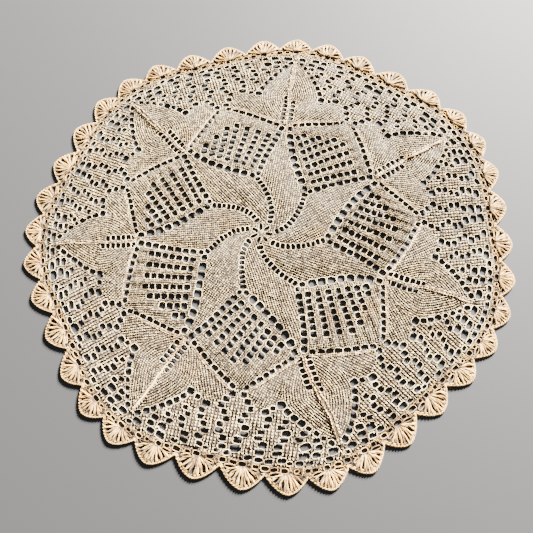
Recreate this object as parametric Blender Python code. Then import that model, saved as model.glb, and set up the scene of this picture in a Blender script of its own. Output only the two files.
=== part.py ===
"""Round lace doily: a knitted ground with seven leaves round a pinwheel, and a crocheted shell edging.

Metres, +Z up. The cloth lies flat on z = 0 with the middle of its box at the origin. The pattern is
worked out once, evenly, in seven sectors, and is then pulled as unevenly as the real cloth is.
"""

import math

import bpy
import bmesh
from mathutils import Vector
from mathutils.geometry import delaunay_2d_cdt

# Driving dimensions
MM = 0.001
REACH = 190 * MM  # mean reach of the shells' tips from the middle of the cloth
LEAVES = 7
SHELLS = 38
GROUND_THICKNESS = 1.5 * MM
EDGING_THICKNESS = 2.0 * MM
SEAM_GAP = 0.35 * MM  # left between the ground and the edging that is worked into it
MERGE_DISTANCE = 1e-5  # millimetres, where a plate's points are joined up

# The even pattern: shares of REACH, and degrees round from a leaf's own bearing
FIRST_LEAF = 19.1
SECTOR = 360.0 / LEAVES
PATTERN_OFFSET = Vector((-0.015, -0.008)) * REACH  # the pinwheel sits a little off the middle
CORNER = (0.258, 16.0)  # inner corner of a net panel
BASE = (0.521, -0.6)  # where a leaf begins
APEX = (0.643, 26.2)  # where two leaves' side lobes meet over a net panel
TIP = (0.864, 0.3)

# Where these four landmarks lie in each sector of the real cloth.
# Columns: reach and bearing of corner, base, apex and tip.
REAL_LANDMARKS = (
    (0.260, 15.7, 0.529, -2.0, 0.648, 24.4, 0.885, -0.6),
    (0.268, 14.6, 0.527, -1.6, 0.654, 25.6, 0.875, -0.5),
    (0.252, 15.4, 0.523, -1.5, 0.635, 24.7, 0.880, -0.6),
    (0.242, 16.4, 0.511, -1.5, 0.623, 26.1, 0.849, -2.1),
    (0.251, 19.2, 0.513, 1.8, 0.642, 28.0, 0.844, 1.4),
    (0.268, 16.2, 0.523, 1.0, 0.652, 27.6, 0.863, 2.9),
    (0.262, 14.8, 0.522, -0.1, 0.648, 26.7, 0.853, 1.3),
)
PULL_CORE = 3 * MM  # a landmark's own pull is even within this distance of it

# Lines of eyelets. Columns: reach, bearing.
SPIRAL_INNER = ((0.060, -77.0), (0.110, -63.5), (0.151, -53.0), (0.195, -45.0), (0.237, -38.0), (0.256, -36))
SPIRAL_OUTER = ((0.270, -32.0), (0.298, -23.5), (0.350, -13.8), (0.400, -8.3), (0.468, -4.3), (0.530, -3))
PANEL_SIDE = ((0.272, 14.2), (0.520, 0.6))
LOBE_LEFT = ((0.528, 2.2), (0.583, 14.5), (0.635, 24.0))
LOBE_RIGHT = ((0.528, 48.9), (0.583, 37.6), (0.635, 28.4))

# Eyelet sizes: length along the line, width across it
SMALL_EYELET = (4.2 * MM, 4.0 * MM)
LARGE_EYELET = (5.4 * MM, 5.0 * MM)
LOBE_EYELET = (5.0 * MM, 4.1 * MM)
NET_HOLE = (5.2 * MM, 4.3 * MM)
LACE_HOLE = (4.6 * MM, 5.2 * MM)
EYELET_CORNERS = ((0.5, 0.0), (0.28, 0.5), (-0.28, 0.5), (-0.5, 0.0), (-0.28, -0.5), (0.28, -0.5))

# The eyelets cut on each line. Columns: line, how many, share of the line at the first and the last, size.
EYELET_LINES = (
    (SPIRAL_INNER, 3, 0.35, 0.93, SMALL_EYELET),
    (SPIRAL_OUTER, 5, 0.02, 0.90, LARGE_EYELET),
    (PANEL_SIDE, 4, 0.12, 0.84, SMALL_EYELET),
    (LOBE_LEFT, 3, 0.24, 0.86, LOBE_EYELET),
    (LOBE_RIGHT, 3, 0.24, 0.86, LOBE_EYELET),
)

# Net panel: every second hole of every second row is cut, at twice the real pitch
NET_ROWS = ((0, 4), (2, 4), (4, 3), (6, 1))  # columns: row, holes cut in it
NET_ROW_PITCH = 7.1 * MM
NET_HOLE_PITCH = 5.4 * MM
NET_START = 8.9 * MM  # from the spiral line to the first hole
NET_FAN = (3.0, 13.0)  # degrees that each row turns from the one before, and the most in all

# Outer lace: zigzag columns of holes on both sides of the line through an apex.
# Columns: degrees from that line, lean of a zigzag, side that the first hole leans to, rows cut.
LACE_COLUMNS = (
    (2.8, 1.1, -1, (2, 4, 6, 8)),
    (7.4, 1.0, 1, (7,)),
)
LACE_FIRST_ROW = 0.656
LACE_ROW_PITCH = 0.0242
LACE_BULGE = 0.024  # how far the rows move out from the apex line to the leaves
NOTCH = (0.703, 11.0)  # the large hole between a leaf and its side lobe

# Rib raised along each leaf
RIB_SPAN = (0.672, 0.858)
RIB_STATIONS = 7
RIB_HALF_WIDTH = 2.6 * MM
RIB_HEIGHT = 1.5 * MM

# Outline of the cloth: the valleys between shells, the shells' tips, and the count of shells round the edge.
# Columns: waves round the cloth, cosine share, sine share.
VALLEY_REACH = 0.947
VALLEY_WAVES = ((1, 0.002, 0.005), (2, 0.000, -0.006), (3, 0.009, 0.008), (7, -0.011, 0.019))
TIP_REACH = 1.006
TIP_WAVES = ((1, -0.004, 0.008), (2, -0.003, -0.007), (3, 0.009, 0.010), (7, -0.009, 0.014))
SHELL_START = -1.160
SHELL_WAVES = ((1, 0.154, 0.151), (2, 0.095, 0.020), (3, 0.019, 0.012), (7, -0.061, -0.027))
SHELL_POINTEDNESS = 1.7
BEARING_CORRECTIONS = 30
EDGING_DEPTH = 0.035  # from a valley in to the knitted ground
HUB_DEPTH = 0.014  # from a valley in to the stitch that a shell's posts spring from
RIM_WIDTH = 0.012
SEAM_POINTS = 4  # points for each shell on the seam
RIM_POINTS = 8  # and on its outer rim
FAN_POINTS = 9  # and on the arc inside the rim, where posts and slits take turns
POST_TOP = 2.0 * MM
SLIT_TOP = 1.2 * MM
HUB_TOP = 2.2 * MM

COTTON = (0.66, 0.52, 0.33)
GOLDEN_COTTON = (0.66, 0.49, 0.28)


def polar(reach, degrees):
    """A point of the even pattern, from its share of REACH and its bearing."""
    angle = math.radians(degrees)
    return Vector((math.cos(angle), math.sin(angle))) * (reach * REACH)


def waves(table, degrees):
    """A sum of whole waves round the cloth, at one bearing."""
    angle = math.radians(degrees)
    total = 0.0
    for count, cosine, sine in table:
        total += cosine * math.cos(count * angle) + sine * math.sin(count * angle)
    return total


def landmark_shifts():
    """Each landmark's even place and how far the real one lies from it; the middle stays."""
    pairs = [(Vector((0.0, 0.0)), Vector((0.0, 0.0)))]
    for sector, row in enumerate(REAL_LANDMARKS):
        bearing = FIRST_LEAF + SECTOR * sector
        for column, (reach, degrees) in enumerate((CORNER, BASE, APEX, TIP)):
            even = polar(reach, bearing + degrees)
            real = polar(row[2 * column], bearing + row[2 * column + 1])
            pairs.append((even, real - even))
    return pairs


SHIFTS = landmark_shifts()


def pulled(point):
    """An even point moved by the mean of the landmarks' shifts, weighed by one over their distance cubed."""
    total = 0.0
    shift = Vector((0.0, 0.0))
    for even, moved in SHIFTS:
        weight = ((point - even).length_squared + PULL_CORE ** 2) ** -1.5
        total += weight
        shift += weight * moved
    return PATTERN_OFFSET + point + shift / total


def along(table, count, first, last):
    """Points spaced evenly along a line through the table's places, each with the line's direction."""
    corners = [polar(reach, degrees) for reach, degrees in table]
    lengths = [(b - a).length for a, b in zip(corners, corners[1:])]
    whole = sum(lengths)
    found = []
    for step in range(count):
        distance = whole * (first + (last - first) * step / (count - 1))
        leg = 0
        while distance > lengths[leg] and leg < len(lengths) - 1:
            distance -= lengths[leg]
            leg += 1
        direction = (corners[leg + 1] - corners[leg]).normalized()
        found.append((corners[leg] + direction * distance, direction))
    return found


def eyelet(centre, direction, size, turn):
    """A six-sided hole, long along direction, turned into its sector and pulled with the cloth."""
    across = Vector((-direction.y, direction.x))
    length, width = size
    spin = math.radians(turn)
    points = []
    for a, b in EYELET_CORNERS:
        point = centre + direction * (a * length) + across * (b * width)
        turned = Vector((
            point.x * math.cos(spin) - point.y * math.sin(spin),
            point.x * math.sin(spin) + point.y * math.cos(spin),
        ))
        points.append(pulled(turned))
    return points


def line_eyelets():
    """The eyelets cut along the lines of one sector: place, direction and size."""
    cut = []
    for line, count, first, last, size in EYELET_LINES:
        cut += [(place, direction, size) for place, direction in along(line, count, first, last)]
    return cut


def net_holes():
    """The holes cut in one net panel, in rows that start parallel to its side and then fan out."""
    corner, own_base = polar(*CORNER), polar(*BASE)
    next_base = polar(BASE[0], BASE[1] + SECTOR)
    row_way = (own_base - corner).normalized()
    up = (next_base - corner).normalized()
    cut = []
    for row, count in NET_ROWS:
        fan = math.radians(min(NET_FAN[0] * (row + 1), NET_FAN[1]))
        way = Vector((
            row_way.x * math.cos(fan) - row_way.y * math.sin(fan),
            row_way.x * math.sin(fan) + row_way.y * math.cos(fan),
        ))
        start = corner + up * (NET_ROW_PITCH * (row + 1)) + row_way * NET_START
        cut += [(start + way * (2 * NET_HOLE_PITCH * step), way, NET_HOLE) for step in range(count)]
    return cut


def lace_holes():
    """The holes cut in one sector's outer lace: zigzags on both sides of the apex line, and two notches."""
    cut = []
    for side in (-1, 1):
        for away, lean, first_lean, rows in LACE_COLUMNS:
            bulge = LACE_BULGE * (1 - math.cos(math.radians(LEAVES * away)))
            for row in rows:
                leaning = first_lean * (1 if (row + 1) // 2 % 2 == 0 else -1)
                bearing = APEX[1] + side * (away + leaning * lean)
                place = polar(LACE_FIRST_ROW + LACE_ROW_PITCH * row + bulge, bearing)
                cut.append((place, place.normalized(), LACE_HOLE))
        notch = polar(NOTCH[0], side * NOTCH[1])
        cut.append((notch, notch.normalized(), LACE_HOLE))
    return cut


def valley_reach(degrees):
    """How far out the valleys between shells lie at a bearing."""
    return VALLEY_REACH + waves(VALLEY_WAVES, degrees)


def edge_reach(degrees, across):
    """How far out a shell's edge lies: at the valleys where across is 0 or 1, at its tip in the middle."""
    rise = TIP_REACH + waves(TIP_WAVES, degrees) - valley_reach(degrees)
    return valley_reach(degrees) + rise * (1 - abs(2 * across - 1) ** SHELL_POINTEDNESS)


def shell_bearing(number):
    """The bearing at which the shells counted round the edge reach a number, found by repeated correction."""
    step = 360.0 / SHELLS
    degrees = number * step
    for _ in range(BEARING_CORRECTIONS):
        degrees = step * (number - SHELL_START - waves(SHELL_WAVES, degrees))
    return degrees


def seam(offset):
    """The line between ground and edging, moved out by an offset."""
    points = []
    for step in range(SHELLS * SEAM_POINTS):
        degrees = shell_bearing(step / SEAM_POINTS)
        points.append(polar(valley_reach(degrees) - EDGING_DEPTH + offset / REACH, degrees))
    return points


def rim():
    """The scalloped outline of the cloth."""
    points = []
    for step in range(SHELLS * RIM_POINTS):
        number = step / RIM_POINTS
        degrees = shell_bearing(number)
        points.append(polar(edge_reach(degrees, number % 1.0), degrees))
    return points


OUTLINE = rim()
BOX_MIDDLE = Vector((
    (min(p.x for p in OUTLINE) + max(p.x for p in OUTLINE)) / 2,
    (min(p.y for p in OUTLINE) + max(p.y for p in OUTLINE)) / 2,
))


def encloses(loop, x, y):
    """Whether a closed loop goes round a point, by counting the edges that a ray crosses."""
    odd = False
    for a, b in zip(loop, loop[1:] + loop[:1]):
        if (a.y > y) != (b.y > y) and x < a.x + (b.x - a.x) * (y - a.y) / (b.y - a.y):
            odd = not odd
    return odd


def cotton(name, colour):
    """A dull, slightly uneven cotton."""
    material = bpy.data.materials.new(name)
    material.use_nodes = True
    shader = material.node_tree.nodes["Principled BSDF"]
    shader.inputs["Base Color"].default_value = (*colour, 1.0)
    shader.inputs["Roughness"].default_value = 0.9
    shader.inputs["Metallic"].default_value = 0.0
    return material


def cloth_plate(name, outer, holes, relief, creases, thickness, material):
    """A closed plate from z = 0 to its top. relief is inner points with their heights, which creases join."""
    loops = [outer] + holes
    points, heights, owner = [], [], []
    edges = []
    for number, loop in enumerate(loops):
        start = len(points)
        points += loop
        heights += [thickness] * len(loop)
        owner += [number] * len(loop)
        edges += [(start + i, start + (i + 1) % len(loop)) for i in range(len(loop))]
    start = len(points)
    points += [point for point, height in relief]
    heights += [height for point, height in relief]
    owner += [-1] * len(relief)
    edges += [(start + a, start + b) for a, b in creases]

    flat = [(point / MM).to_2d() for point in points]
    found, _, triangles, sources, _, _ = delaunay_2d_cdt(flat, edges, [], 0, MERGE_DISTANCE, True)
    mesh = bmesh.new()
    top = []
    for p, source in zip(found, sources):
        top.append(mesh.verts.new((p.x * MM - BOX_MIDDLE.x, p.y * MM - BOX_MIDDLE.y, heights[source[0]])))
    bottom = [mesh.verts.new((vertex.co.x, vertex.co.y, 0.0)) for vertex in top]
    for corners in triangles:
        owners = {owner[sources[i][0]] for i in corners}
        if len(owners) == 1 and -1 not in owners:
            number = owners.pop()
            x = sum(found[i].x for i in corners) / 3 * MM
            y = sum(found[i].y for i in corners) / 3 * MM
            if encloses(loops[number], x, y) != (number == 0):
                continue
        mesh.faces.new([top[i] for i in corners])
        mesh.faces.new([bottom[i] for i in reversed(corners)])
    under = dict(zip(top, bottom))
    for edge in [edge for edge in mesh.edges if len(edge.link_faces) == 1 and edge.verts[0] in under]:
        loop = edge.link_loops[0]
        a, b = loop.vert, loop.link_loop_next.vert
        mesh.faces.new((b, a, under[a], under[b]))
    bmesh.ops.delete(mesh, geom=[v for v in mesh.verts if not v.link_faces], context="VERTS")
    bmesh.ops.triangulate(mesh, faces=[face for face in mesh.faces if len(face.verts) > 3])
    bmesh.ops.recalc_face_normals(mesh, faces=mesh.faces)
    data = bpy.data.meshes.new(name)
    mesh.to_mesh(data)
    mesh.free()
    data.materials.append(material)
    piece = bpy.data.objects.new(name, data)
    bpy.context.collection.objects.link(piece)
    return piece


def leaf_ribs():
    """Points and creases of the seven ribs: a raised middle line between two at the cloth's own height."""
    relief, creases = [], []
    for sector in range(LEAVES):
        for station in range(RIB_STATIONS):
            share = station / (RIB_STATIONS - 1)
            reach = RIB_SPAN[0] + (RIB_SPAN[1] - RIB_SPAN[0]) * share
            middle = polar(reach, FIRST_LEAF + SECTOR * sector)
            sideways = Vector((-middle.y, middle.x)).normalized() * RIB_HALF_WIDTH
            swell = RIB_HEIGHT * max(math.sin(math.pi * share), 0.0) ** 0.5
            start = len(relief)
            relief.append((pulled(middle + sideways), GROUND_THICKNESS))
            relief.append((pulled(middle), GROUND_THICKNESS + swell))
            relief.append((pulled(middle - sideways), GROUND_THICKNESS))
            if station:
                creases += [(start - 3 + i, start + i) for i in range(3)]
    return relief, creases


def knitted_ground():
    """The knitted disc: pinwheel, net panels, leaves and outer lace, with its eyelets cut through."""
    holes = []
    for centre, direction, size in line_eyelets() + net_holes() + lace_holes():
        holes += [eyelet(centre, direction, size, FIRST_LEAF + SECTOR * sector) for sector in range(LEAVES)]
    relief, creases = leaf_ribs()
    material = cotton("cream cotton knit", COTTON)
    return cloth_plate("knitted_ground", seam(0.0), holes, relief, creases, GROUND_THICKNESS, material)


def crochet_edging():
    """The ring of shells: each fans out from one stitch to a corded rim, with slits between its posts."""
    relief = []
    for number in range(SHELLS):
        degrees = shell_bearing(number + 0.5)
        relief.append((polar(valley_reach(degrees) - HUB_DEPTH, degrees), HUB_TOP))
        for step in range(FAN_POINTS):
            across = (step + 0.5) / FAN_POINTS
            degrees = shell_bearing(number + across)
            top = POST_TOP if step % 2 else SLIT_TOP
            relief.append((polar(edge_reach(degrees, across) - RIM_WIDTH, degrees), top))
    material = cotton("golden cotton crochet", GOLDEN_COTTON)
    return cloth_plate("crochet_edging", OUTLINE, [seam(SEAM_GAP)], relief, [], EDGING_THICKNESS, material)


def clear_scene():
    for piece in list(bpy.data.objects):
        bpy.data.objects.remove(piece, do_unlink=True)


clear_scene()
knitted_ground()
crochet_edging()
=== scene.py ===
import bpy
import numpy as np
from mathutils import Matrix
from mathutils.geometry import delaunay_2d_cdt


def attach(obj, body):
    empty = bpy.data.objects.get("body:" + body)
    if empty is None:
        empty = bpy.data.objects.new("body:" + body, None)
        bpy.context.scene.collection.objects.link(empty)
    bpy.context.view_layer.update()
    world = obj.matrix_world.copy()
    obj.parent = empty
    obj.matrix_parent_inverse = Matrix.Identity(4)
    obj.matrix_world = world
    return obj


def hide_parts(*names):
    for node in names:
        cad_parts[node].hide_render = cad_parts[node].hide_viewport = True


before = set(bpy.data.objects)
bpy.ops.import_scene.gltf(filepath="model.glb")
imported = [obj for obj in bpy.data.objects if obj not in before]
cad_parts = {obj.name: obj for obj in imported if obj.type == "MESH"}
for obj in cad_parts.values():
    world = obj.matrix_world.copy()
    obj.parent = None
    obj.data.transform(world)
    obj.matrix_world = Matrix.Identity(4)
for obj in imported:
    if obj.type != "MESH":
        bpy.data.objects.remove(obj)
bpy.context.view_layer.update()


# The ground's web: the inner layer of the knitting, where the yarn passes from stitch to stitch.
# Cream cotton in one piece, knitted in the round from the middle in seven like sectors. Each eyelet
# is an opening in it. It lies on the table, and the stitches of the next sections lie on it. Its colour is
# painted shade: dark brown for the shade in the pits between the stitches.
MM = 0.001
REACH = 190 * MM  # mean reach of the shells' tips from the middle of the cloth
LEAVES = 7
SECTOR = 360 / LEAVES
FIRST_LEAF = 19.1  # bearing of the first leaf, in degrees
PATTERN_OFFSET = (-0.015 - 0.008j) * REACH  # the pinwheel sits a little off the middle
random = np.random.default_rng(7)  # every unevenness of the cloth comes from this one seed

# The even pattern's landmarks: share of REACH, and degrees from the sector's own leaf
CORNER, BASE, APEX, TIP = (0.258, 16.0), (0.521, -0.6), (0.643, 26.2), (0.864, 0.3)
# The same four in each sector of the real cloth, which is pulled unevenly.
# Columns: reach and bearing of corner, base, apex and tip.
REAL_LANDMARKS = np.array((
    (0.260, 15.7, 0.529, -2.0, 0.648, 24.4, 0.885, -0.6),
    (0.268, 14.6, 0.527, -1.6, 0.654, 25.6, 0.875, -0.5),
    (0.252, 15.4, 0.523, -1.5, 0.635, 24.7, 0.880, -0.6),
    (0.242, 16.4, 0.511, -1.5, 0.623, 26.1, 0.849, -2.1),
    (0.251, 19.2, 0.513, 1.8, 0.642, 28.0, 0.844, 1.4),
    (0.268, 16.2, 0.523, 1.0, 0.652, 27.6, 0.863, 2.9),
    (0.262, 14.8, 0.522, -0.1, 0.648, 26.7, 0.853, 1.3),
))
PULL_CORE = 3 * MM  # a landmark's own pull is even within this distance of it

# Lines of eyelets from the middle out to a leaf's base, and along a net panel's other sides.
# Columns: reach, bearing.
SPIRAL_INNER = ((0.033, -86), (0.060, -77), (0.110, -63.5), (0.151, -53), (0.195, -45), (0.237, -38),
                (0.256, -36))
SPIRAL_OUTER = ((0.270, -32), (0.298, -23.5), (0.350, -13.8), (0.400, -8.3), (0.468, -4.3), (0.530, -3))
PANEL_SIDE = ((0.272, 14.2), (0.400, 6.2), (0.520, 0.6))
LOBE_LEFT = ((0.528, 2.2), (0.583, 14.5), (0.635, 24.0))
LOBE_RIGHT = ((0.528, 48.9), (0.575, 37.5), (0.635, 28.4))
# Columns: line, eyelets on it, share of the line at the first and the last, length and width in mm
EYELET_LINES = (
    (SPIRAL_INNER, 11, 0.13, 0.97, 4.0, 5.6),
    (SPIRAL_OUTER, 9, 0.00, 0.95, 6.4, 6.1),
    (PANEL_SIDE, 9, 0.02, 0.97, 5.3, 5.1),
    (LOBE_LEFT, 8, 0.06, 0.99, 5.5, 4.5),
    (LOBE_RIGHT, 8, 0.12, 0.99, 5.5, 4.5),
)
CENTRE_SLIT = (0.031, -88, 5.8, 2.9)  # reach, bearing, length and width of the slits round the middle

# Columns of eyelets on both sides of a leaf's rib: side, how many, distance from the rib in mm
RIB_COLUMNS = ((1, 7, 2.4), (-1, 6, 4.3))
RIB_EYELETS = (0.545, 0.022, 4.8, 3.8)  # reach of the first, pitch, length, width

NET_ROWS = (7, 7, 7, 7, 6, 4, 2)  # eyelets in each row of a net panel
NET_ROW_PITCH = 7.1 * MM
NET_PITCH = 5.4 * MM
NET_START = 8.9 * MM
NET_FAN = (3, 13)  # degrees that each row turns from the one before, and the most in all
NET_EYELET = (5.2, 5.4)

# Outer lace: zigzag lines of eyelets on both sides of the line through an apex. Columns as above, with
# degrees from that line, then eyelets on the line.
LACE_LINES = (
    (((0.660, 1.9), (0.709, 4.7), (0.751, 1.8), (0.790, 4.1), (0.824, 1.9), (0.884, 1.4)), 10),
    (((0.720, 8.9), (0.762, 10.1), (0.807, 6.6), (0.845, 8.2), (0.888, 6.1)), 8),
    (((0.763, 14.0), (0.778, 12.5), (0.812, 14.0), (0.862, 10.8), (0.898, 12.2)), 7),
    (((0.8165, 17.7), (0.830, 16.2), (0.862, 17.5), (0.893, 16.9)), 4),
    (((0.849, 20.2), (0.869, 20.6), (0.897, 19.6)), 3),
    (((0.896, 23.5), (0.897, 23.5)), 1),
)
LACE_EYELET = (7.4, 5.4)  # length across the line and width, at a reach of 0.78; the length grows with it

# Round the leaf, with degrees from it: the line of its edge, and two eyelets of its lobe
LEAF_EDGE = ((0.870, 1.7), (0.848, 3.2), (0.800, 6.2), (0.750, 9.2), (0.729, 10.2))
LEAF_EDGE_EYELETS = (7, 5.4, 4.7)  # how many, length, width
LOBE_EYELETS = ((0.700, 11.5, 6.0, 5.4), (0.708, 14.2, 4.0, 3.8))  # reach, bearing, length, width

# The cloth's edge: the valleys between shells, the shells' tips, and the count of shells round it.
# Columns: waves round the cloth, cosine share, sine share.
SHELLS = 38
VALLEY_REACH = 0.947
VALLEY_WAVES = ((1, 0.002, 0.005), (2, 0.000, -0.006), (3, 0.009, 0.008), (7, -0.011, 0.019))
TIP_REACH = 1.006
TIP_WAVES = ((1, -0.004, 0.008), (2, -0.003, -0.007), (3, 0.009, 0.010), (7, -0.009, 0.014))
SHELL_START = -1.160
SHELL_WAVES = ((1, 0.154, 0.151), (2, 0.095, 0.020), (3, 0.019, 0.012), (7, -0.061, -0.027))
SHELL_POINTEDNESS = 1.7
EDGING_DEPTH = 0.035  # from a valley in to the knitted ground
WEB_THICKNESS = 0.6 * MM
EYELET_POINTS = 12


def polar(reach, degrees):
    """A place of the pattern as a complex number: REACH times reach, turned by degrees."""
    return REACH * np.asarray(reach) * np.exp(1j * np.radians(degrees))


def turned(places, sectors):
    """Places turned round the middle by whole sectors."""
    return places * np.exp(1j * np.radians(SECTOR * sectors))


leaf_bearings = FIRST_LEAF + SECTOR * np.arange(LEAVES)[:, None]
landmarks = np.array((CORNER, BASE, APEX, TIP)).T
even_marks = polar(landmarks[0], landmarks[1] + leaf_bearings)
real_marks = polar(REAL_LANDMARKS[:, ::2], REAL_LANDMARKS[:, 1::2] + leaf_bearings)
marks = np.append(even_marks, 0)
mark_shifts = np.append(real_marks - even_marks, 0)


def laid(places, sector):
    """Real places of a sector's even places: turned by its leaf's bearing, then moved by the mean of the
    landmarks' shifts, each weighed by one over its distance cubed."""
    even = turned(places, sector) * np.exp(1j * np.radians(FIRST_LEAF))
    weight = (np.abs(even[..., None] - marks) ** 2 + PULL_CORE ** 2) ** -1.5
    return even + (weight * mark_shifts).sum(-1) / weight.sum(-1) + PATTERN_OFFSET


def rounded(table):
    """A line through a table's places, with each corner cut twice at a quarter of its sides."""
    points = polar(*np.array(table).T)
    for _ in range(2):
        quarters = points[:-1, None] * (0.75, 0.25) + points[1:, None] * (0.25, 0.75)
        points = np.concatenate([points[:1], quarters.ravel()[1:-1], points[-1:]])
    return points


def along(points, shares):
    """Places at shares of a line's length, and the line's direction at each."""
    steps = np.abs(np.diff(points))
    travelled = np.append(0, np.cumsum(steps)) / steps.sum()
    places = np.interp(shares, travelled, points.real) + 1j * np.interp(shares, travelled, points.imag)
    leg = np.clip(np.searchsorted(travelled, shares) - 1, 0, len(steps) - 1)
    return places, np.diff(points)[leg] / steps[leg]


def eyelet_row(places, ways, length, width):
    """A row of the eyelets' table: place, direction of its length, half length and half width."""
    places = np.atleast_1d(places)
    return np.stack(np.broadcast_arrays(places, ways, length * MM / 2 + 0j, width * MM / 2), axis=1)


def sector_eyelets():
    """All eyelets of one even sector."""
    reach, bearing, length, width = CENTRE_SLIT
    rows = [eyelet_row(polar(reach, bearing), polar(1, bearing) / REACH, length, width)]
    for table, count, first, last, length, width in EYELET_LINES:
        rows.append(eyelet_row(*along(rounded(table), np.linspace(first, last, count)), length, width))
    for side, count, off in RIB_COLUMNS:
        reaches = (RIB_EYELETS[0] + RIB_EYELETS[1] * np.arange(count)) * REACH
        rows.append(eyelet_row(reaches + side * off * MM * 1j, 1j, *RIB_EYELETS[2:]))
    for row, count in enumerate(NET_ROWS):
        places = net_place(row, NET_START + NET_PITCH * np.arange(count))
        rows.append(eyelet_row(places, net_way(row), *NET_EYELET))
    for side in (1, -1):
        for line, count in LACE_LINES:
            reach, away = np.array(line).T
            places, _ = along(polar(reach, APEX[1] + side * away), np.linspace(0, 1, count))
            length = LACE_EYELET[0] * np.abs(places) / (0.78 * REACH)
            rows.append(eyelet_row(places, 1j * places / np.abs(places), length, LACE_EYELET[1]))
        reach, bearing = np.array(LEAF_EDGE).T
        count, length, width = LEAF_EDGE_EYELETS
        places, ways = along(polar(reach, side * bearing), np.linspace(0, 1, count))
        rows.append(eyelet_row(places, ways, length, width))
        for reach, bearing, length, width in LOBE_EYELETS:
            place = polar(reach, side * bearing)
            rows.append(eyelet_row(place, 1j * place / np.abs(place), length, width))
    return np.concatenate(rows)


def net_way(row):
    """The direction of a net panel's row: from its corner to the leaf's base, fanned out row by row."""
    way = polar(*BASE) - polar(*CORNER)
    return way / np.abs(way) * np.exp(1j * np.radians(np.clip(NET_FAN[0] * (row + 1), 0, NET_FAN[1])))


def net_place(row, distance):
    """The place at a distance along a net panel's row."""
    up = turned(polar(*BASE), 1) - polar(*CORNER)
    start = polar(*CORNER) + up / np.abs(up) * NET_ROW_PITCH * (row + 1)
    return start + net_way(row) * (distance - 0.2 * MM * row)


def waves(table, degrees):
    """A sum of whole waves round the cloth: cosine share times the cosine of waves times the bearing, and
    likewise for the sine."""
    count, cosine, sine = np.array(table).T[:, :, None]
    angle = count * np.radians(degrees).ravel()
    return (cosine * np.cos(angle) + sine * np.sin(angle)).sum(0).reshape(np.shape(degrees))


def valley_reach(degrees):
    """How far out the valleys between shells lie at a bearing."""
    return VALLEY_REACH + waves(VALLEY_WAVES, degrees)


def shell_bearing(number):
    """The bearing at which the shells counted round the edge reach a number, by repeated correction."""
    number = np.asarray(number, float)
    degrees = 360 / SHELLS * number
    for _ in range(30):
        degrees = 360 / SHELLS * (number - SHELL_START - waves(SHELL_WAVES, degrees))
    return degrees


def edge_reach(degrees, across):
    """How far out a shell's edge lies: at the valleys where across is 0 or 1, at its tip in the middle."""
    rise = TIP_REACH + waves(TIP_WAVES, degrees) - valley_reach(degrees)
    return valley_reach(degrees) + rise * (1 - np.abs(2 * across - 1) ** SHELL_POINTEDNESS)


numbers = np.arange(SHELLS * 8) / 8
outline = polar(edge_reach(shell_bearing(numbers), numbers % 1), shell_bearing(numbers))
box_middle = (outline.real.min() + outline.real.max() + 1j * (outline.imag.min() + outline.imag.max())) / 2


def room_to_seam(places):
    """How far inside the line between ground and edging each place lies."""
    return (valley_reach(np.degrees(np.angle(places))) - EDGING_DEPTH) * REACH - np.abs(places)


PUCKER = polar(0.722, FIRST_LEAF - 0.6) + PATTERN_OFFSET  # where the first leaf's rib starts
PUCKER_SIZE, PUCKER_LIFT = 4.0 * MM, 0.9 * MM
# Long waves in which the cloth lies. Columns: height in mm, wave length in mm, bearing, start.
LIE_WAVES = ((0.30, 92, 20, 0.6), (0.26, 63, 95, 2.1), (0.20, 47, 150, 4.0), (0.14, 31, 60, 1.0))
LIE_SHARE = 0.6  # how much of those waves is left once the cloth has been pressed
EDGE_SHARE = 0.2  # share of REACH over which they sink to the table


def lie(places):
    """The cloth's underside: long waves of a millimetre in all, down to the table at the outer edge, and a
    round pucker whose height falls as e to the power minus the square of the distance over its size."""
    height = 0
    for size, length, bearing, start in LIE_WAVES:
        across = (places * np.exp(-1j * np.radians(bearing))).real
        height = height + size * (1 + np.cos(2 * np.pi * across / (length * MM) + start))
    flat = height * MM * np.clip((1.0 - np.abs(places) / REACH) / EDGE_SHARE, 0, 1) * LIE_SHARE
    return flat + PUCKER_LIFT * np.exp(-(np.abs(places - PUCKER) / PUCKER_SIZE) ** 2)


def cloth_piece(name, points, triangles, material, **values):
    """A smooth mesh from arrays of points and triangles, centred as the cloth's box is, with named values
    at its points."""
    points = points - (box_middle.real, box_middle.imag, 0)
    mesh = bpy.data.meshes.new(name)
    mesh.vertices.add(len(points))
    mesh.vertices.foreach_set("co", points.astype(np.float32).ravel())
    mesh.loops.add(triangles.size)
    mesh.loops.foreach_set("vertex_index", triangles.astype(np.int32).ravel())
    mesh.polygons.add(len(triangles))
    mesh.polygons.foreach_set("loop_start", np.arange(0, triangles.size, 3, dtype=np.int32))
    for key, value in values.items():
        attribute = mesh.attributes.new(key, "FLOAT" if value.ndim == 1 else "FLOAT_VECTOR", "POINT")
        numbers = value.astype(np.float32).ravel()
        attribute.data.foreach_set("value" if value.ndim == 1 else "vector", numbers)
    mesh.update(calc_edges=True)
    mesh.shade_smooth()
    mesh.materials.append(material)
    piece = bpy.data.objects.new(name, mesh)
    bpy.context.collection.objects.link(piece)
    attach(piece, "root")
    return piece


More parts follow.
